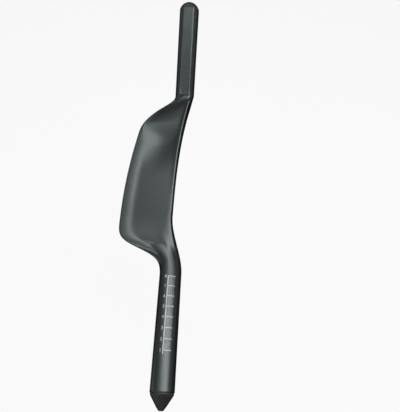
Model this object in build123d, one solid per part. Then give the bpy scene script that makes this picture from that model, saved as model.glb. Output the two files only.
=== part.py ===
from build123d import *
import math
import os

# Left-hand aero extension of a time-trial handlebar, in millimetres.
# One hollow carbon moulding: a round clamp tube at the rear, a dished wing under the forearm,
# and a grip that climbs at the front. A rubber plug closes each end.
# +Y runs forward along the clamp tube, +Z is up and +X points to the bike's centre line.
# The origin is the middle of the clamp tube, on its axis.

# Clamp tube: the round rear stretch that a clamp holds
TUBE_OD = 22.2
TUBE_WALL = 1.8
TUBE_LENGTH = 110.0

# Grip: the round front stretch, with a flat along its top. Places count from the front corner
GRIP_OD = 22.2
GRIP_WALL = 2.8
ROUND_FROM = 24.0
FLAT_DEPTH = 1.5
FLAT_FROM = 20.0
FLAT_RUNOUT_RADIUS = 60.0

# Course of the spine: level along the tube, gently up along the wing, steeply up the grip
REAR_STRAIGHT = 0.75
REAR_KNEE_RADIUS = 125.0
WING_RUN = 195.0
WING_RISE_ANGLE = 12.0
WING_DRIFT_ANGLE = 1.7
FRONT_KNEE_RADIUS = 45.0
GRIP_RUN = 103.0
GRIP_RISE_ANGLE = 39.3
GRIP_TOE_IN_ANGLE = 3.1

# Plan outline of the wing: distances from the spine, and places along it from the tube's front end
WING_REACH = 60.2
WIDEST_AT = 62.0
OUTER_ARC_RADIUS = 560.0
REAR_CORNER_AT = 25.3
REAR_CORNER_SOFTNESS = 10.3
FRONT_CORNER_AT = 208.8
FRONT_CORNER_SOFTNESS = 4.0
FRONT_SHOULDER = 46.0
SHOULDER_CURVE = 2.4
WAIST = -2.7
WAIST_AT = 63.0
WAIST_CURVE = 2.7
INNER_CORNER_AT = 214.0
SLOPE_STEP = 1.0

# Section of the wing: bevelled ridge along the inner edge, dish, margin along the outer edge, belly
RIDGE_HEIGHT = 10.8
RIDGE_HEIGHT_FRONT = 13.0
CREST_RADIUS = 1.5
BEVEL_ANGLE = 34.0
BEVEL_WIDTH = 3.0
DISH_DEPTH = 9.0
DISH_DEPTH_FRONT = 12.2
DISH_CURVE = 1.3
DISH_CURVE_FRONT = 2.2
DISH_REAR = 46.0
DISH_FRONT = 26.0
MARGIN_WIDTH = 11.0
MARGIN_DROP = 1.3
MARGIN_CURVE = 1.5
RIM_RADIUS = 1.8
WING_THICKNESS = 5.0
BELLY_DEPTH = 10.3
BELLY_INSET = 13.0
WALL_DROP = 2.0

# Points round a section: their angles on the round bar, from the inner edge over the top
RING_ANGLES = [0, 12, 20, 24, 28, 32, 36, 41, 53, 74, 95, 112, 127, 142, 155, 168, 174, 180, 186,
               211, 241, 271, 302, 322, 342]
# Their places on the wing: angles on the rim and belly rounds, and shares of the other spans
WALL_SHARES = [0.0, 0.5, 0.83]
CREST_SHARES = [0.0, 0.5, 1.0]
BEVEL_SHARES = [0.5, 1.0]
FLOOR_SHARES = [0.88, 0.67, 0.46, 0.28, 0.14, 0.0]
MARGIN_SHARE = 0.5
RIM_ANGLES = [95, 137, 180, 240]
UNDER_SHARES = [0.0, 0.33, 0.66]
BELLY_ANGLES = [270, 300, 330]

# Sections that the skin and the hollow are drawn over, crowded toward both ends
STATIONS = 50
PASSAGE_STATIONS = 16
CROWDING_SHARE = 0.9

# Hollow through the wing
PASSAGE_RADIUS = 5.6
PASSAGE_INSET = 8.4
PASSAGE_DROP = 2.0
PASSAGE_TAPER = 22.0
PASSAGE_LEAD = 8.0

# Rubber plugs: a ribbed shank in the bore and a head outside
PLUG_CLEARANCE = 0.05
PLUG_INSET = 0.5
PLUG_SHANK = 15.0
SHANK_ROOT = 1.0
PLUG_RIBS = 3
RIB_DEPTH = 0.7
RIB_WIDTH = 1.4
CONE_LENGTH = 14.0
CONE_COLLAR = 1.6
CONE_ANGLE = 33.3
CONE_SHOULDER_RADIUS = 2.0
CONE_TIP_RADIUS = 2.4
CONE_FACETS = 6
FACET_ANGLE = 35.3
FACET_TURN_ANGLE = 7.0
DOME_HEIGHT = 7.8
DOME_COLLAR = 0.8
EDGE_BREAK = 0.4

tube_r = TUBE_OD / 2
tube_bore_r = tube_r - TUBE_WALL
grip_r = GRIP_OD / 2
grip_bore_r = grip_r - GRIP_WALL


def ease(t):
    """Smooth step from 0 to 1 with level ends."""
    t = min(max(t, 0.0), 1.0)
    return t * t * (3.0 - 2.0 * t)


def mix(a, b, t):
    return a + (b - a) * t


def ramp(d, softness):
    """Zero below, rising one for one above, with a parabola between -softness and softness."""
    if abs(d) < softness:
        return (d + softness) ** 2 / (4 * softness)
    return max(d, 0.0)


def on_ellipse(centre, half_u, half_w, degrees):
    angle = math.radians(degrees)
    return (centre[0] + half_u * math.cos(angle), centre[1] + half_w * math.sin(angle))


def heading(rise, turn):
    """Unit direction that climbs by rise and turns inward by turn, both in degrees."""
    up, side = math.radians(rise), math.radians(turn)
    return Vector(math.cos(up) * math.sin(side), math.cos(up) * math.cos(side), math.sin(up))


# Spine: straight runs joined by tangent arcs, measured from the tube's front end
tube_front = Vector(0, TUBE_LENGTH / 2, 0)
wing_direction = heading(WING_RISE_ANGLE, WING_DRIFT_ANGLE)
rear_bend = math.acos(wing_direction.Y)
rear_knee = tube_front + Vector(0, REAR_STRAIGHT + REAR_KNEE_RADIUS * math.tan(rear_bend / 2), 0)
front_knee = rear_knee + wing_direction * WING_RUN
grip_direction = heading(GRIP_RISE_ANGLE, GRIP_TOE_IN_ANGLE)
grip_end = front_knee + grip_direction * GRIP_RUN
spine = FilletPolyline(tube_front, rear_knee, front_knee, grip_end,
                       radius=[REAR_KNEE_RADIUS, FRONT_KNEE_RADIUS])


def station_plane(s):
    """Plane square to the spine at s: x inward, y up."""
    tangent = spine.tangent_at(s / spine.length)
    inward = tangent.cross(Vector(0, 0, 1))
    return Plane(origin=spine.position_at(s / spine.length), x_dir=inward, z_dir=-tangent)


grip_start = FRONT_CORNER_AT + ROUND_FROM
grip_length = spine.length - grip_start
grip_base = station_plane(grip_start)
tube_axis = Plane(origin=(0, -TUBE_LENGTH / 2, 0), x_dir=(1, 0, 0), z_dir=(0, 1, 0))
grip_axis = Plane(origin=grip_base.origin, x_dir=grip_base.x_dir, z_dir=grip_direction)
rear_end = Plane(origin=tube_axis.origin, x_dir=(1, 0, 0), z_dir=(0, -1, 0))
front_end = Plane(origin=grip_end, x_dir=grip_base.x_dir, z_dir=grip_direction)


def stations(count):
    """Places that share the way from tube to grip in count spans, short ones toward both ends."""
    turns = [2 * math.pi * k / count for k in range(1, count)]
    return [grip_start * (turn - CROWDING_SHARE * math.sin(turn)) / (2 * math.pi) for turn in turns]


def along_wing(s):
    """Share of the way from the waist to the front corner."""
    return min(max((s - WAIST_AT) / (FRONT_CORNER_AT - WAIST_AT), 0.0), 1.0)


def bar_radius(s):
    """Radius of the round bar that the wing grows out of."""
    return mix(tube_r, grip_r, ease(s / FRONT_CORNER_AT))


def outer_edge(s):
    """Outer outline: round the rear corner, along a long arc, down the front shoulder to the grip."""
    start = math.tanh(-REAR_CORNER_AT / REAR_CORNER_SOFTNESS)
    here = math.tanh((s - REAR_CORNER_AT) / REAR_CORNER_SOFTNESS)
    corner = (here - start) / (1.0 - start)
    to_go = min(ramp(FRONT_CORNER_AT - s, FRONT_CORNER_SOFTNESS) / FRONT_SHOULDER, 1.0)
    shoulder = 1.0 - (1.0 - to_go) ** SHOULDER_CURVE
    arc = WING_REACH - max(s - WIDEST_AT, 0.0) ** 2 / (2 * OUTER_ARC_RADIUS)
    return -mix(bar_radius(s), arc, corner * shoulder)


def inner_edge(s):
    """Inner outline: in to the waist, then out again to the grip."""
    if s < WAIST_AT:
        return mix(bar_radius(s), WAIST, ease(s / WAIST_AT))
    flare = min((s - WAIST_AT) / (INNER_CORNER_AT - WAIST_AT), 1.0)
    return mix(WAIST, bar_radius(s), flare ** WAIST_CURVE)


def bar_ring(s):
    """Round section between the two edges, with one point for each angle of the ring."""
    middle = (inner_edge(s) + outer_edge(s)) / 2
    half = (inner_edge(s) - outer_edge(s)) / 2
    return [on_ellipse((middle, 0), half, bar_radius(s), angle) for angle in RING_ANGLES]


def wing_ring(s):
    """Section of the dished wing, with one point for each angle of the ring."""
    outer, inner = outer_edge(s), inner_edge(s)
    forward = along_wing(s) ** 2
    slope = (outer_edge(s + SLOPE_STEP / 2) - outer_edge(s - SLOPE_STEP / 2)) / SLOPE_STEP
    ridge_w = mix(RIDGE_HEIGHT, RIDGE_HEIGHT_FRONT, forward)
    shelf_u = min(outer + MARGIN_WIDTH * math.hypot(1.0, slope), (inner + outer) / 2)
    shelf_w = ridge_w - mix(DISH_DEPTH, DISH_DEPTH_FRONT, forward)
    curve = mix(DISH_CURVE, DISH_CURVE_FRONT, forward)
    under_w = shelf_w - WING_THICKNESS
    belly_u = inner - BELLY_INSET
    belly_drop = BELLY_DEPTH - WALL_DROP
    crest_end = 90 + BEVEL_ANGLE
    crest_middle = (inner - CREST_RADIUS, ridge_w - CREST_RADIUS)
    rim_middle = (outer + RIM_RADIUS, shelf_w - MARGIN_DROP - RIM_RADIUS)

    wall = [(inner, mix(-WALL_DROP, crest_middle[1], t)) for t in WALL_SHARES]
    crest = [on_ellipse(crest_middle, CREST_RADIUS, CREST_RADIUS, crest_end * t) for t in CREST_SHARES]
    top_u, top_w = crest[-1]
    foot_u = top_u - BEVEL_WIDTH
    foot_w = top_w - BEVEL_WIDTH * math.tan(math.radians(BEVEL_ANGLE))
    bevel = [(mix(top_u, foot_u, t), mix(top_w, foot_w, t)) for t in BEVEL_SHARES]
    floor = [(mix(shelf_u, foot_u, t), mix(shelf_w, foot_w, t ** curve)) for t in FLOOR_SHARES]
    rim = [on_ellipse(rim_middle, RIM_RADIUS, RIM_RADIUS, a) for a in RIM_ANGLES]
    rim_u, rim_w = rim[0]
    margin = [(mix(shelf_u, rim_u, MARGIN_SHARE), mix(shelf_w, rim_w, MARGIN_SHARE ** MARGIN_CURVE))]
    under = [(mix(shelf_u, belly_u, t), mix(under_w, -BELLY_DEPTH, t)) for t in UNDER_SHARES]
    belly = [on_ellipse((belly_u, -WALL_DROP), BELLY_INSET, belly_drop, a) for a in BELLY_ANGLES]
    return wall + crest + bevel + floor + margin + rim + under + belly


def section(s):
    """Closed section of the skin at s: the round bar, the wing, or a blend of the two."""
    dished = ease(s / DISH_REAR) * ease((FRONT_CORNER_AT - s) / DISH_FRONT)
    plane = station_plane(s)
    points = []
    for bar, wing in zip(bar_ring(s), wing_ring(s)):
        local = Vector(mix(bar[0], wing[0], dished), mix(bar[1], wing[1], dished), 0)
        points.append(plane.from_local_coords(local))
    places = [angle / 360 for angle in RING_ANGLES] + [1.0]
    return Wire([Edge.make_spline(points, periodic=True, parameters=places)])


def passage(s):
    """Round section of the hollow at s, in the thick inner side of the wing."""
    narrow = ease(s / PASSAGE_TAPER) * ease((FRONT_CORNER_AT - PASSAGE_LEAD - s) / PASSAGE_TAPER + 1.0)
    bore_r = mix(tube_bore_r, grip_bore_r, ease(s / FRONT_CORNER_AT))
    centre = Vector(mix(0, inner_edge(s) - PASSAGE_INSET, narrow), mix(0, -PASSAGE_DROP, narrow), 0)
    plane = station_plane(s)
    plane.origin = plane.from_local_coords(centre)
    return Wire.make_circle(mix(bore_r, PASSAGE_RADIUS, narrow), plane)


def flat_cutter():
    """Block above the grip's flat top, with a rounded run-out at its rear end."""
    start = grip_end - grip_direction * (spine.length - FRONT_CORNER_AT - FLAT_FROM)
    side = Plane(origin=start, x_dir=grip_direction, z_dir=grip_base.x_dir)
    level = grip_r - FLAT_DEPTH
    top = level + GRIP_OD
    reach = spine.length - FRONT_CORNER_AT + GRIP_OD
    back = math.sqrt(2 * FLAT_RUNOUT_RADIUS * GRIP_OD - GRIP_OD ** 2)
    runout = RadiusArc((-back, top), (0, level), -FLAT_RUNOUT_RADIUS)
    rest = Polyline((0, level), (reach, level), (reach, top), (-back, top))
    return extrude(side * make_face([runout, rest]), amount=GRIP_OD, both=True)


def bar_end(radius, length, axis):
    """Round bar along axis, with the edge of its free end broken."""
    bar = Solid.make_cylinder(radius, length, axis)
    rims = bar.edges().filter_by(GeomType.CIRCLE)
    return bar.chamfer(EDGE_BREAK, None, [rims.sort_by_distance(spine.position_at(0.5))[-1]])


def extension_body():
    """Carbon moulding: clamp tube, wing and grip in one skin, hollow from end to end."""
    rings = [Wire.make_circle(tube_r, station_plane(0))]
    rings += [section(s) for s in stations(STATIONS)]
    rings += [Wire.make_circle(grip_r, grip_base)]
    skin = Solid.make_loft(rings)
    skin = skin.fuse(bar_end(tube_r, TUBE_LENGTH, tube_axis))
    skin = skin.fuse(bar_end(grip_r, grip_length, grip_axis))
    steps = [0] + stations(PASSAGE_STATIONS) + [grip_start]
    hollow = Solid.make_loft([passage(s) for s in steps], ruled=True)
    hollow = hollow.fuse(Solid.make_cylinder(tube_bore_r, TUBE_LENGTH, tube_axis))
    hollow = hollow.fuse(Solid.make_cylinder(grip_bore_r, grip_length, grip_axis))
    return skin - flat_cutter() - hollow


def ribbed_shank(bore_r):
    """Shank of a plug, below the plane of the tube's end: a core with ribs that fill the bore."""
    rib_r = bore_r - PLUG_CLEARANCE
    root_r = rib_r - RIB_DEPTH
    pitch = PLUG_SHANK / (PLUG_RIBS + 1)
    points = [(0, SHANK_ROOT), (0, -PLUG_SHANK), (root_r, -PLUG_SHANK)]
    for k in range(PLUG_RIBS):
        middle = -PLUG_SHANK + pitch * (k + 1)
        points += [(root_r, middle - RIB_WIDTH / 2), (rib_r, middle - RIB_WIDTH / 2)]
        points += [(rib_r, middle + RIB_WIDTH / 2), (root_r, middle + RIB_WIDTH / 2)]
    profile = make_face(Polyline(*points, (root_r, SHANK_ROOT), close=True))
    return revolve(Plane.XZ * profile, Axis.Z)


def rear_cone_plug():
    """Bullet-shaped head with flat facets round it, on a ribbed shank."""
    head_r = tube_r - PLUG_INSET
    tip_r = head_r - (CONE_LENGTH - CONE_COLLAR) * math.tan(math.radians(CONE_ANGLE))
    shoulder = (head_r, CONE_COLLAR)
    tip = (tip_r, CONE_LENGTH)
    profile = make_face(Polyline((0, 0), (head_r, 0), shoulder, tip, (0, CONE_LENGTH), close=True))
    profile = fillet(profile.vertices().sort_by_distance(shoulder)[0], CONE_SHOULDER_RADIUS)
    profile = fillet(profile.vertices().sort_by_distance(tip)[0], CONE_TIP_RADIUS)
    profile = chamfer(profile.vertices().sort_by_distance((head_r, 0))[0], EDGE_BREAK)
    head = revolve(Plane.XZ * profile, Axis.Z)
    flats_r = head_r + CONE_COLLAR * math.tan(math.radians(FACET_ANGLE))
    polygon = Rot(0, 0, FACET_TURN_ANGLE) * RegularPolygon(flats_r, CONE_FACETS, major_radius=False)
    head = head & extrude(polygon, amount=CONE_LENGTH + CONE_COLLAR, taper=FACET_ANGLE)
    return rear_end * (head + ribbed_shank(tube_bore_r))


def front_dome_plug():
    """Domed head that carries on the grip's flat top, on a ribbed shank."""
    head_r = grip_r - PLUG_INSET
    crown = DOME_HEIGHT - DOME_COLLAR
    dome_r = (head_r ** 2 + crown ** 2) / (2 * crown)
    collar = Polyline((0, DOME_HEIGHT), (0, 0), (head_r, 0), (head_r, DOME_COLLAR))
    dome = RadiusArc((head_r, DOME_COLLAR), (0, DOME_HEIGHT), -dome_r)
    profile = make_face([collar, dome])
    profile = chamfer(profile.vertices().sort_by_distance((head_r, 0))[0], EDGE_BREAK)
    head = front_end * revolve(Plane.XZ * profile, Axis.Z)
    return (head - flat_cutter()) + front_end * ribbed_shank(grip_bore_r)


os.makedirs("parts", exist_ok=True)
for build in (extension_body, rear_cone_plug, front_dome_plug):
    export_step(build(), f"parts/{build.__name__}.step")
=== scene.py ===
import math

import bmesh
import bpy
from mathutils import Matrix, Vector


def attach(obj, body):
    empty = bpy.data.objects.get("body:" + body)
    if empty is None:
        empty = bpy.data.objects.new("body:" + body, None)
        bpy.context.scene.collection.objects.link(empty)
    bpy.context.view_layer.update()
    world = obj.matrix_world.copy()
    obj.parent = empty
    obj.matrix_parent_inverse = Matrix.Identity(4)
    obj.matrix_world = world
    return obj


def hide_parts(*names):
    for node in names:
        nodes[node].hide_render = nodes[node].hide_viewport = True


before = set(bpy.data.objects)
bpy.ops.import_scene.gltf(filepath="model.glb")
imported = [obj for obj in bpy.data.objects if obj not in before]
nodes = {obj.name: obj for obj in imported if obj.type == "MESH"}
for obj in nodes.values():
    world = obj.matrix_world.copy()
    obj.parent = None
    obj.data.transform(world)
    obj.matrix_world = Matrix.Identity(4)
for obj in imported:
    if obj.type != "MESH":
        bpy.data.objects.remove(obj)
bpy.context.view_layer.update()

scene = bpy.context.scene
MM = 0.001

# Moulding, in millimetres. Places along it count along the spine from the clamp tube's front end.

# Round ends and their bores
TUBE_RADIUS = 11.1
TUBE_BORE = 9.3
TUBE_LENGTH = 110.0
GRIP_BORE = 8.3
BORE_DEPTH = 20.0
EDGE_BREAK = 0.4

# Course of the spine: level along the tube, gently up along the wing, steeply up the grip
REAR_STRAIGHT = 0.75
REAR_KNEE_RADIUS = 125.0
WING_RUN = 195.0
WING_RISE = 12.0
WING_DRIFT = 1.7
FRONT_KNEE_RADIUS = 45.0
GRIP_RUN = 103.0
GRIP_RISE = 39.3
GRIP_TOE_IN = 3.1

# Flat along the grip's top, whose edges soften toward the wing
GRIP_FROM = 232.8
FLAT_LEVEL = 9.6
FLAT_AT = 228.8
FLAT_EDGE = 0.35
FLAT_SOFT = 2.5
FLAT_FADE = 24.0

# Plan outline of the wing: distances from the spine
WING_REACH = 60.2
WIDEST_AT = 62.0
OUTER_ARC_RADIUS = 560.0
REAR_CORNER_AT = 25.3
REAR_CORNER_SOFTNESS = 10.3
FRONT_CORNER_AT = 208.8
FRONT_CORNER_SOFTNESS = 4.0
FRONT_SHOULDER = 46.0
SHOULDER_CURVE = 2.4
WAIST = -2.7
WAIST_AT = 63.0
WAIST_CURVE = 2.7
INNER_CORNER_AT = 214.0
SLOPE_STEP = 0.5

# Ridge along the inner edge, with a bevel that grows steeper toward the front
RIDGE_HEIGHT = 10.8
RIDGE_HEIGHT_FRONT = 13.0
RIDGE_CURVE = 2
CREST_RADIUS = 1.5
BEVEL_WIDTH = 3.0
BEVEL_ANGLE_REAR = 11.0
BEVEL_ANGLE = 34.0
BEVEL_FROM = 70.0
BEVEL_TO = 150.0
WALL_DROP = 2.0

# Dish: shallow at its rear end, level beside the margin, hollower toward the front
DISH_DEPTH = 9.8
DISH_DEPTH_FRONT = 12.4
SHALLOW_SHARE = 0.15
DEEP_FROM = 64.0
LEVEL_SHARE = 0.07
BOWL_FROM = 108.0
BOWL_TO = 150.0
BOWL_CURVE = 2.9

# Margin that rolls off to the rim, and how it fades out at the front shoulder
MARGIN_WIDTH = 11.0
MARGIN_DROP = 1.3
MARGIN_CURVE = 1.7
FADE_FROM = 148.0
FADE_TO = 177.0
FADE_WIDTH = 2.0
FADE_DROP = 0.6
FADE_LEVEL_SHARE = 0.012
FADE_BOWL_CURVE = 1.15
RIM_RADIUS = 1.8
RIM_ANGLES = (110, 245)

# Underside
BELLY_DEPTH = 10.3
BELLY_INSET = 13.0
BELLY_ANGLES = (270, 360)

# Where the wing grows out of the tube, ridge last, and where it ramps up to the grip
RIDGE_REAR = 80.0
RIM_REAR = 40.0
RIDGE_SIDE = 10.0
RIM_SIDE = 80.0
RAMP_FROM = 203.0
RAMP_TO = 213.5
RAMP_FILLET = 2.5

# Spans round a section: name, first and last angle on the round bar, number of points
SPANS = (("wall", 0, 24, 8), ("crest", 24, 32, 8), ("bevel", 32, 41, 6), ("floor", 41, 142, 44),
         ("margin", 142, 168, 16), ("rim", 168, 190, 14), ("under", 190, 302, 26), ("belly", 302, 360, 14))
JOIN_PASSES = 3
TUBE_RINGS = (-80, -50, -20, -6)
WING_STEPS = 190
GRIP_STEPS = 40
SHARP_ANGLE = 40


def ease(t):
    """Smooth step from 0 to 1."""
    t = min(max(t, 0.0), 1.0)
    return t * t * (3.0 - 2.0 * t)


def mix(a, b, t):
    return a + (b - a) * t


def soft_ramp(d, softness):
    """Zero below, rising one for one above, with a parabola between."""
    if abs(d) < softness:
        return (d + softness) ** 2 / (4 * softness)
    return max(d, 0.0)


def on_circle(radius, angle):
    return radius * math.cos(math.radians(angle)), radius * math.sin(math.radians(angle))


def heading(rise, turn):
    up, side = math.radians(rise), math.radians(turn)
    return Vector((math.cos(up) * math.sin(side), math.cos(up) * math.cos(side), math.sin(up)))


def make_spine():
    """Straight runs and tangent arcs: (length, start, tangent, turn direction or None, radius)."""
    start = Vector((0, TUBE_LENGTH / 2, 0))
    ways = [Vector((0, 1, 0)), heading(WING_RISE, WING_DRIFT), heading(GRIP_RISE, GRIP_TOE_IN)]
    bends = [ways[0].angle(ways[1]), ways[1].angle(ways[2])]
    radii = [REAR_KNEE_RADIUS, FRONT_KNEE_RADIUS]
    lead = [r * math.tan(b / 2) for r, b in zip(radii, bends)]
    runs = [REAR_STRAIGHT, WING_RUN - lead[0] - lead[1], GRIP_RUN - lead[1]]
    pieces = []
    for k, run in enumerate(runs):
        pieces.append((run, start.copy(), ways[k], None, 0.0))
        start = start + ways[k] * run
        if k < len(bends):
            side = (ways[k + 1] - ways[k] * math.cos(bends[k])) / math.sin(bends[k])
            pieces.append((radii[k] * bends[k], start.copy(), ways[k], side, radii[k]))
            start = start + (ways[k] * math.sin(bends[k]) + side * (1 - math.cos(bends[k]))) * radii[k]
    return pieces


SPINE = make_spine()
SPINE_LENGTH = sum(piece[0] for piece in SPINE)


def station(s):
    """Point, inward and upward directions square to the spine at s."""
    if s < 0:
        return Vector((0, TUBE_LENGTH / 2 + s, 0)), Vector((1, 0, 0)), Vector((0, 0, 1))
    for k, (length, start, way, side, radius) in enumerate(SPINE):
        if s <= length or k == len(SPINE) - 1:
            break
        s -= length
    if side is None:
        point, tangent = start + way * s, way
    else:
        turn = s / radius
        point = start + (way * math.sin(turn) + side * (1 - math.cos(turn))) * radius
        tangent = way * math.cos(turn) + side * math.sin(turn)
    inward = tangent.cross(Vector((0, 0, 1))).normalized()
    return point, inward, inward.cross(tangent)


def along_wing(s):
    return min(max((s - WAIST_AT) / (FRONT_CORNER_AT - WAIST_AT), 0.0), 1.0)


def outer_edge(s):
    """Outer outline: round the rear corner, along a long arc, down the front shoulder to the grip."""
    start = math.tanh(-REAR_CORNER_AT / REAR_CORNER_SOFTNESS)
    corner = (math.tanh((s - REAR_CORNER_AT) / REAR_CORNER_SOFTNESS) - start) / (1.0 - start)
    to_go = min(soft_ramp(FRONT_CORNER_AT - s, FRONT_CORNER_SOFTNESS) / FRONT_SHOULDER, 1.0)
    shoulder = 1.0 - (1.0 - to_go) ** SHOULDER_CURVE
    arc = WING_REACH - max(s - WIDEST_AT, 0.0) ** 2 / (2 * OUTER_ARC_RADIUS)
    return -mix(TUBE_RADIUS, arc, corner * shoulder)


def inner_edge(s):
    """Inner outline: in to the waist, then out again to the grip."""
    if s < WAIST_AT:
        return mix(TUBE_RADIUS, WAIST, ease(s / WAIST_AT))
    flare = min((s - WAIST_AT) / (INNER_CORNER_AT - WAIST_AT), 1.0)
    return mix(WAIST, TUBE_RADIUS, flare ** WAIST_CURVE)


def arc_point(centre, half_u, half_w, a0, a1, t):
    """Point at the share t of an elliptic arc from a0 to a1."""
    angle = math.radians(mix(a0, a1, t))
    return (centre[0] + half_u * math.cos(angle), centre[1] + half_w * math.sin(angle))


def wing_section(s):
    """Points round the dished section at s, span by span."""
    outer, inner = outer_edge(s), inner_edge(s)
    forward = along_wing(s) ** RIDGE_CURVE
    fade = ease((s - FADE_FROM) / (FADE_TO - FADE_FROM))
    slope = (outer_edge(s + SLOPE_STEP) - outer_edge(s - SLOPE_STEP)) / (2 * SLOPE_STEP)
    bevel = mix(BEVEL_ANGLE_REAR, BEVEL_ANGLE, ease((s - BEVEL_FROM) / (BEVEL_TO - BEVEL_FROM)))
    hollow = ease((s - BOWL_FROM) / (BOWL_TO - BOWL_FROM))
    level = mix(LEVEL_SHARE, FADE_LEVEL_SHARE, fade)
    curve = mix(BOWL_CURVE, FADE_BOWL_CURVE, fade)
    ridge = mix(RIDGE_HEIGHT, RIDGE_HEIGHT_FRONT, forward)
    depth = mix(DISH_DEPTH, DISH_DEPTH_FRONT, forward) * mix(SHALLOW_SHARE, 1.0, ease(s / DEEP_FROM))
    margin_width = mix(MARGIN_WIDTH, FADE_WIDTH, fade) * math.hypot(1.0, slope)
    margin_drop = mix(MARGIN_DROP, FADE_DROP, fade)
    shelf = (min(outer + margin_width, (inner + outer) / 2), ridge - depth)
    crest = (inner - CREST_RADIUS, ridge - CREST_RADIUS)
    rim = (outer + RIM_RADIUS, shelf[1] - margin_drop - RIM_RADIUS)
    belly = (inner - BELLY_INSET, -WALL_DROP)

    def crest_point(t):
        return arc_point(crest, CREST_RADIUS, CREST_RADIUS, 0, 90 + bevel, t)

    def rim_point(t):
        return arc_point(rim, RIM_RADIUS, RIM_RADIUS, *RIM_ANGLES, t)

    top, rim_start, rim_end = crest_point(1), rim_point(0), rim_point(1)
    foot = (top[0] - BEVEL_WIDTH, top[1] - BEVEL_WIDTH * math.tan(math.radians(bevel)))

    def floor_point(t):
        """Level at the shelf, then a steady rise that steepens toward the ridge at the front."""
        r = 1 - t
        line = soft_ramp(r - level, level) / (1 - level)
        rise = mix(line, line ** curve, hollow)
        return (mix(shelf[0], foot[0], r), mix(shelf[1], foot[1], rise))

    shapes = {
        "wall": lambda t: (inner, mix(-WALL_DROP, crest[1], t)),
        "crest": crest_point,
        "bevel": lambda t: (mix(top[0], foot[0], t), mix(top[1], foot[1], t)),
        "floor": floor_point,
        "margin": lambda t: (mix(shelf[0], rim_start[0], t), mix(shelf[1], rim_start[1], t ** MARGIN_CURVE)),
        "rim": rim_point,
        "under": lambda t: (mix(rim_end[0], belly[0], t), mix(rim_end[1], -BELLY_DEPTH, ease(t))),
        "belly": lambda t: arc_point(belly, BELLY_INSET, BELLY_DEPTH - WALL_DROP, *BELLY_ANGLES, t)}
    return [shapes[name](k / count) for name, a0, a1, count in SPANS for k in range(count)]


RING_ANGLES = [mix(a0, a1, k / count) for name, a0, a1, count in SPANS for k in range(count)]


def smooth_ring(points, passes):
    """Round the joins between spans: each point goes half of the way to the line of its neighbours."""
    for _ in range(passes):
        kept = []
        for k, here in enumerate(points):
            back, ahead = points[k - 1], points[(k + 1) % len(points)]
            d0, d1 = math.dist(here, back), math.dist(here, ahead)
            share = 0.5 / (d0 + d1)
            kept.append(tuple(here[j] * 0.5 + (back[j] * d1 + ahead[j] * d0) * share for j in (0, 1)))
        points = kept
    return points


def dished(s, angle):
    """Share of the wing's section at s: grows from the tube, the ridge last, and runs out at the grip."""
    turn = abs(angle - 360 * (angle > 180))
    reach = mix(RIDGE_REAR, RIM_REAR, ease((turn - RIDGE_SIDE) / (RIM_SIDE - RIDGE_SIDE)))
    front = soft_ramp(s - RAMP_FROM, RAMP_FILLET) / (RAMP_TO - RAMP_FROM)
    return ease(s / reach) * (1.0 - min(front, 1.0))


def flattened(w, s):
    """Height under the grip's flat top, whose edges soften toward the wing."""
    if s < RAMP_FROM - RAMP_FILLET:
        return w
    softness = mix(FLAT_EDGE, FLAT_SOFT, ease((FLAT_AT - s) / FLAT_FADE))
    return w - soft_ramp(w - FLAT_LEVEL, softness)


def skin_ring(s):
    """Points round the skin at s, in the plane of the station."""
    ring = [on_circle(TUBE_RADIUS, a) for a in RING_ANGLES]
    if s <= 0 or s >= GRIP_FROM:
        return [(u, flattened(w, s)) for u, w in ring]
    middle = (inner_edge(s) + outer_edge(s)) / 2
    widening = (inner_edge(s) - outer_edge(s)) / (2 * TUBE_RADIUS)
    skin = []
    for a, (u, w), wing in zip(RING_ANGLES, ring, smooth_ring(wing_section(s), JOIN_PASSES)):
        share = dished(s, a)
        skin.append((mix(middle + widening * u, wing[0], share), mix(flattened(w, s), wing[1], share)))
    return skin


def finished_mesh(name, bm):
    mesh = bpy.data.meshes.new(name)
    bm.to_mesh(mesh)
    bm.free()
    return mesh


def body_mesh():
    """The whole moulding as one closed skin, with a blind bore for the plug at each end."""
    places = [-TUBE_LENGTH + EDGE_BREAK, *TUBE_RINGS]
    places += [GRIP_FROM * k / WING_STEPS for k in range(WING_STEPS + 1)]
    grip = SPINE_LENGTH - GRIP_FROM
    places += [GRIP_FROM + grip * k / GRIP_STEPS for k in range(1, GRIP_STEPS)]
    places.append(SPINE_LENGTH - EDGE_BREAK)
    rings = [(s, skin_ring(s)) for s in places]

    def bored(s, radius):
        return (s, [on_circle(radius, a) for a in RING_ANGLES])

    def broken(s, ring):
        scale = 1 - EDGE_BREAK / TUBE_RADIUS
        return (s, [(u * scale, w * scale) for u, w in ring])

    rear, front = -TUBE_LENGTH, SPINE_LENGTH
    rings = [bored(rear + BORE_DEPTH, TUBE_BORE), bored(rear, TUBE_BORE), broken(rear, rings[0][1])] + rings
    rings += [broken(front, rings[-1][1]), bored(front, GRIP_BORE), bored(front - BORE_DEPTH, GRIP_BORE)]
    bm = bmesh.new()
    grid = []
    for s, ring in rings:
        point, inward, up = station(s)
        grid.append([bm.verts.new((point + inward * u + up * w) * MM) for u, w in ring])
    for a, b in zip(grid[:-1], grid[1:]):
        for k in range(len(a)):
            j = (k + 1) % len(a)
            bm.faces.new((a[k], b[k], b[j], a[j]))
    bm.faces.new(grid[0])
    bm.faces.new(grid[-1][::-1])
    bmesh.ops.recalc_face_normals(bm, faces=bm.faces)
    for face in bm.faces:
        face.smooth = True
    mesh = finished_mesh("extension_moulding", bm)
    mesh.set_sharp_from_angle(angle=math.radians(SHARP_ANGLE))
    return mesh


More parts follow.
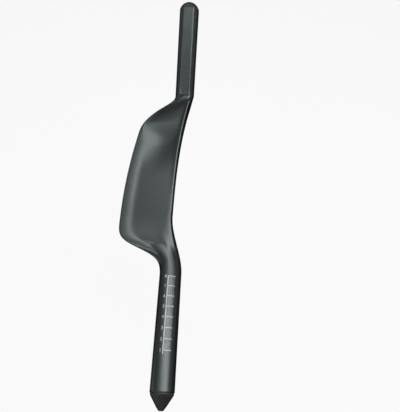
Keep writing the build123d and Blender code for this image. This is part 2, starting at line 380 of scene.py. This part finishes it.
# Scale printed along the tube's top, in metres. Arcs run round the tube from its top line
TUBE_SURFACE = TUBE_RADIUS * MM
INK_LIFT = 0.00004
STRIP_CUT = 0.0006
LINE_ARC = -0.00105
LINE_WIDTH = 0.00085
LINE_FROM = -0.0245
LINE_TO = 0.0492
TICKS = 8
TICK_PITCH = 0.010
FIRST_TICK = -0.0213
TICK_TO_ARC = 0.0066
TICK_WIDTH = 0.0007
FINE_PITCH = 0.001
FINE_TO_ARC = 0.0056
FINE_WIDTH = 0.00016
DIGIT_ARC = -0.0035
DIGIT_HEIGHT = 0.0030
DIGIT_STROKE = 0.02
DIGIT_STEPS = 3


def link(name, data):
    obj = bpy.data.objects.new(name, data)
    scene.collection.objects.link(obj)
    return obj


def on_tube(arc, y):
    angle = arc / TUBE_SURFACE
    r = TUBE_SURFACE + INK_LIFT
    return Vector((r * math.sin(angle), y, r * math.cos(angle)))


def strips(name, rows):
    """Thin printed bars wrapped on the tube: each row is (arc from, arc to, y from, y to)."""
    bm = bmesh.new()
    for a0, a1, y0, y1 in rows:
        cuts = max(1, math.ceil(abs(a1 - a0) / STRIP_CUT))
        edge = []
        for k in range(cuts + 1):
            arc = mix(a0, a1, k / cuts)
            edge.append((bm.verts.new(on_tube(arc, y0)), bm.verts.new(on_tube(arc, y1))))
        for (p, q), (s, t) in zip(edge[:-1], edge[1:]):
            bm.faces.new((p, s, t, q))
    return link(name, finished_mesh(name, bm))


def cross_bar(arc_to, y, width):
    """Row for a bar from the scale's line to arc_to."""
    return (LINE_ARC + LINE_WIDTH / 2, arc_to, y - width / 2, y + width / 2)


def digits(name):
    """The numbers of the scale, one beside each tick."""
    bm = bmesh.new()
    for k in range(TICKS):
        curve = bpy.data.curves.new(f"digit_{k + 1}", "FONT")
        curve.body = str(k + 1)
        curve.resolution_u = DIGIT_STEPS
        curve.offset = DIGIT_STROKE
        obj = link(f"digit_{k + 1}", curve)
        graph = bpy.context.evaluated_depsgraph_get()
        mesh = bpy.data.meshes.new_from_object(obj.evaluated_get(graph))
        xs = [v.co.x for v in mesh.vertices]
        ys = [v.co.y for v in mesh.vertices]
        size = DIGIT_HEIGHT / (max(ys) - min(ys))
        mid_x = (max(xs) + min(xs)) / 2
        mid_y = (max(ys) + min(ys)) / 2
        for v in mesh.vertices:
            arc = DIGIT_ARC + (v.co.x - mid_x) * size
            v.co = on_tube(arc, FIRST_TICK + k * TICK_PITCH + (v.co.y - mid_y) * size)
        bm.from_mesh(mesh)
        bpy.data.objects.remove(obj)
        bpy.data.curves.remove(curve)
        bpy.data.meshes.remove(mesh)
    return link(name, finished_mesh(name, bm))


# Materials. Noise runs mostly between these two values
NOISE_LOW = 0.3
NOISE_HIGH = 0.7
GRAIN_DEPTH = 0.0002


def principled(name):
    mat = bpy.data.materials.new(name)
    mat.use_nodes = True
    return mat, mat.node_tree.nodes, mat.node_tree.links, mat.node_tree.nodes["Principled BSDF"]


def noise(ns, ls, scale, detail=4.0, rough=0.55, stretch=(1.0, 1.0, 1.0)):
    """Noise over the piece's own coordinates."""
    coords = ns.new("ShaderNodeTexCoord")
    mapping = ns.new("ShaderNodeMapping")
    mapping.inputs["Scale"].default_value = stretch
    tex = ns.new("ShaderNodeTexNoise")
    tex.inputs["Scale"].default_value = scale
    tex.inputs["Detail"].default_value = detail
    tex.inputs["Roughness"].default_value = rough
    ls.new(coords.outputs["Object"], mapping.inputs["Vector"])
    ls.new(mapping.outputs["Vector"], tex.inputs["Vector"])
    return tex.outputs["Fac"]


def add_tone(ns, ls, bsdf, value, dark, pale, low=NOISE_LOW):
    """Colour that drifts from dark to pale with the noise."""
    node = ns.new("ShaderNodeValToRGB")
    stops = ((low, dark), (NOISE_HIGH, pale))
    for element, (place, colour) in zip(node.color_ramp.elements, stops):
        element.position = place
        element.color = (*colour, 1.0)
    ls.new(value, node.inputs["Fac"])
    ls.new(node.outputs["Color"], bsdf.inputs["Base Color"])


def add_sheen(ns, ls, bsdf, value, low, high):
    """Roughness that varies with the noise."""
    node = ns.new("ShaderNodeMapRange")
    node.inputs["From Min"].default_value = NOISE_LOW
    node.inputs["From Max"].default_value = NOISE_HIGH
    node.inputs["To Min"].default_value = low
    node.inputs["To Max"].default_value = high
    ls.new(value, node.inputs["Value"])
    ls.new(node.outputs["Result"], bsdf.inputs["Roughness"])


def add_grain(ns, ls, bsdf, value, strength):
    """Fine relief of the surface."""
    bump = ns.new("ShaderNodeBump")
    bump.inputs["Strength"].default_value = strength
    bump.inputs["Distance"].default_value = GRAIN_DEPTH
    ls.new(value, bump.inputs["Height"])
    ls.new(bump.outputs["Normal"], bsdf.inputs["Normal"])


def carbon_material():
    """Satin black laminate: a soft cloud of tone, fibres along the part in the sheen, a fine grain."""
    mat, ns, ls, bsdf = principled("carbon_satin")
    cloud = noise(ns, ls, 30.0)
    fibre = noise(ns, ls, 260.0, 3.0, 0.6, (1.0, 0.12, 1.0))
    grain = noise(ns, ls, 1800.0, 2.0)
    add_tone(ns, ls, bsdf, cloud, (0.010, 0.0115, 0.0115), (0.014, 0.016, 0.016))
    add_sheen(ns, ls, bsdf, fibre, 0.36, 0.42)
    add_grain(ns, ls, bsdf, grain, 0.05)
    bsdf.inputs["Specular IOR Level"].default_value = 1.0
    bsdf.inputs["Specular Tint"].default_value = (0.86, 1.0, 1.0, 1.0)
    bsdf.inputs["Coat Weight"].default_value = 0.7
    bsdf.inputs["Coat Roughness"].default_value = 0.36
    return mat


def rubber_material():
    """Moulded rubber: duller and a little paler than the laminate, with a coarser grain."""
    mat, ns, ls, bsdf = principled("plug_rubber")
    cloud = noise(ns, ls, 120.0)
    grain = noise(ns, ls, 2600.0, 2.0)
    add_tone(ns, ls, bsdf, cloud, (0.026, 0.027, 0.028), (0.040, 0.041, 0.042))
    add_sheen(ns, ls, bsdf, cloud, 0.42, 0.52)
    add_grain(ns, ls, bsdf, grain, 0.1)
    return mat


def ink_material():
    """White ink, thinner in places."""
    mat, ns, ls, bsdf = principled("scale_ink")
    wear = noise(ns, ls, 900.0, 3.0)
    add_tone(ns, ls, bsdf, wear, (0.50, 0.52, 0.52), (0.80, 0.82, 0.82), low=0.25)
    bsdf.inputs["Roughness"].default_value = 0.45
    return mat


carbon = carbon_material()
rubber = rubber_material()
ink = ink_material()

moulding = link("extension_moulding", body_mesh())
moulding.data.materials.append(carbon)
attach(moulding, "root")
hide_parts("extension_body")
for name in ("rear_cone_plug", "front_dome_plug"):
    nodes[name].data.materials.clear()
    nodes[name].data.materials.append(rubber)

line_rows = [(LINE_ARC - LINE_WIDTH / 2, LINE_ARC + LINE_WIDTH / 2, LINE_FROM, LINE_TO)]
tick_places = [FIRST_TICK + k * TICK_PITCH for k in range(TICKS)]
fine_places = [y + j * FINE_PITCH for y in tick_places[:-1] for j in range(1, 10)]
tick_rows = [cross_bar(TICK_TO_ARC, y, TICK_WIDTH) for y in tick_places]
fine_rows = [cross_bar(FINE_TO_ARC, y, FINE_WIDTH) for y in fine_places]
for piece in (strips("scale_line", line_rows), strips("scale_ticks", tick_rows),
              strips("scale_graduations", fine_rows), digits("scale_numbers")):
    piece.data.materials.append(ink)
    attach(piece, "root")

# Stage, in metres
FLOOR_HALF = 6.0
FLOOR_PLACE = (0.0, 0.15, -0.25)
FLOOR_GLOW_SHARE = 0.9
CARD_OUTLINE = ((-3.0, 0.02), (-0.4, 0.02), (-0.4, -3.0), (3.0, -3.0), (3.0, 3.0), (-3.0, 3.0))
CARD_HEIGHT = -0.15
LAMP_AIM = Vector((0.0, 0.1, 0.02))
LAMP_DISTANCE = 1.2
# Name, degrees to the right and forward of the zenith, width, length, radiance, turn about its own axis
LAMPS = (("key_softbox", 16, 4.5, 1.95, 0.56, 3.9, -22),
         ("left_softbox", -40, 23, 0.85, 0.66, 0.5, -14),
         ("rear_fill", -32, -30, 0.36, 0.36, 5.0, 0))
# Backdrop: strength at the horizon and overhead, and the heights between which it falls
HORIZON_STRENGTH = 0.30
OVERHEAD_STRENGTH = 0.01
FALL_FROM = 0.10
FALL_TO = 0.30
# Camera: place, directions and focal length as fitted to the photograph
CAMERA_PLACE = (0.0345, -0.0833, 0.3697)
CAMERA_RIGHT = (0.9996, 0.0277, 0.0)
CAMERA_FORWARD = (-0.0142, 0.5099, -0.8601)
FOCAL_PIXELS = 380.0
LONG_SIDE_PIXELS = 412.0
HALF_PIXEL = 0.5
SENSOR_WIDTH = 36.0
NEAR_CLIP = 0.01


def flat_sheet(name, outline, place):
    mesh = bpy.data.meshes.new(name)
    mesh.from_pydata([(x, y, 0.0) for x, y in outline], [], [tuple(range(len(outline)))])
    obj = link(name, mesh)
    obj.location = place
    return obj


def larger(ns, ls, a, b):
    node = ns.new("ShaderNodeMath")
    node.operation = "MAXIMUM"
    ls.new(a, node.inputs[0])
    ls.new(b, node.inputs[1])
    return node.outputs["Value"]


def floor_material():
    """Matt white that shows white to camera, glossy and transmission rays, and keeps a soft shadow."""
    mat, ns, ls, bsdf = principled("floor_white")
    bsdf.inputs["Base Color"].default_value = (0.9, 0.9, 0.9, 1.0)
    bsdf.inputs["Roughness"].default_value = 0.9
    bsdf.inputs["Specular IOR Level"].default_value = 0.1
    glow = ns.new("ShaderNodeEmission")
    glow.inputs["Color"].default_value = (1.0, 1.0, 1.0, 1.0)
    glow.inputs["Strength"].default_value = 1.0
    path = ns.new("ShaderNodeLightPath")
    seen = larger(ns, ls, path.outputs["Is Camera Ray"], path.outputs["Is Glossy Ray"])
    seen = larger(ns, ls, seen, path.outputs["Is Transmission Ray"])
    share = ns.new("ShaderNodeMath")
    share.operation = "MULTIPLY"
    share.inputs[1].default_value = FLOOR_GLOW_SHARE
    ls.new(seen, share.inputs[0])
    blend = ns.new("ShaderNodeMixShader")
    ls.new(share.outputs["Value"], blend.inputs["Fac"])
    ls.new(bsdf.outputs["BSDF"], blend.inputs[1])
    ls.new(glow.outputs["Emission"], blend.inputs[2])
    ls.new(blend.outputs["Shader"], ns["Material Output"].inputs["Surface"])
    return mat


def card_material():
    mat, ns, ls, bsdf = principled("card_black")
    bsdf.inputs["Base Color"].default_value = (0.004, 0.004, 0.004, 1.0)
    bsdf.inputs["Specular IOR Level"].default_value = 0.0
    return mat


def softbox(name, right, ahead, width, length, radiance, turn):
    lamp = bpy.data.lights.new(name, "AREA")
    lamp.shape = "RECTANGLE"
    lamp.size = width
    lamp.size_y = length
    lamp.energy = radiance * math.pi * width * length
    back = Vector((math.tan(math.radians(right)), math.tan(math.radians(ahead)), 1.0)).normalized()
    across = (Vector((1, 0, 0)) - back * back.x).normalized()
    across = Matrix.Rotation(math.radians(turn), 3, back) @ across
    obj = link(name, lamp)
    obj.location = LAMP_AIM + back * LAMP_DISTANCE
    obj.rotation_euler = Matrix((across, back.cross(across), back)).transposed().to_euler()


corners = ((-1, -1), (1, -1), (1, 1), (-1, 1))
floor = flat_sheet("floor", [(FLOOR_HALF * x, FLOOR_HALF * y) for x, y in corners], FLOOR_PLACE)
floor.data.materials.append(floor_material())

for lamp in LAMPS:
    softbox(*lamp)

# Black card under the part, for reflections alone: the part's flanks stay black above the white floor
card = flat_sheet("flag", CARD_OUTLINE, (0.0, 0.0, CARD_HEIGHT))
card.data.materials.append(card_material())
card.visible_camera = False
card.visible_shadow = False
card.visible_diffuse = False

# Backdrop, pale at the horizon and dark overhead
world = bpy.data.worlds.new("studio")
scene.world = world
world.use_nodes = True
ns, ls = world.node_tree.nodes, world.node_tree.links
ns["Background"].inputs["Color"].default_value = (1.0, 1.0, 1.0, 1.0)
way = ns.new("ShaderNodeTexCoord")
height = ns.new("ShaderNodeSeparateXYZ")
fall_off = ns.new("ShaderNodeMapRange")
fall_off.interpolation_type = "SMOOTHSTEP"
fall_off.inputs["From Min"].default_value = FALL_FROM
fall_off.inputs["From Max"].default_value = FALL_TO
fall_off.inputs["To Min"].default_value = HORIZON_STRENGTH
fall_off.inputs["To Max"].default_value = OVERHEAD_STRENGTH
ls.new(way.outputs["Generated"], height.inputs["Vector"])
ls.new(height.outputs["Z"], fall_off.inputs["Value"])
ls.new(fall_off.outputs["Result"], ns["Background"].inputs["Strength"])

camera_data = bpy.data.cameras.new("camera")
camera = link("camera", camera_data)
scene.camera = camera
forward = Vector(CAMERA_FORWARD).normalized()
up = Vector(CAMERA_RIGHT).normalized().cross(forward).normalized()
right = forward.cross(up)
facing = Matrix((right, up, -forward)).transposed().to_4x4()
camera.matrix_world = Matrix.Translation(CAMERA_PLACE) @ facing
camera_data.sensor_width = SENSOR_WIDTH
camera_data.lens = FOCAL_PIXELS * SENSOR_WIDTH / LONG_SIDE_PIXELS
camera_data.shift_x = -HALF_PIXEL / LONG_SIDE_PIXELS
camera_data.shift_y = HALF_PIXEL / LONG_SIDE_PIXELS
camera_data.clip_start = NEAR_CLIP

scene.view_settings.view_transform = "Standard"
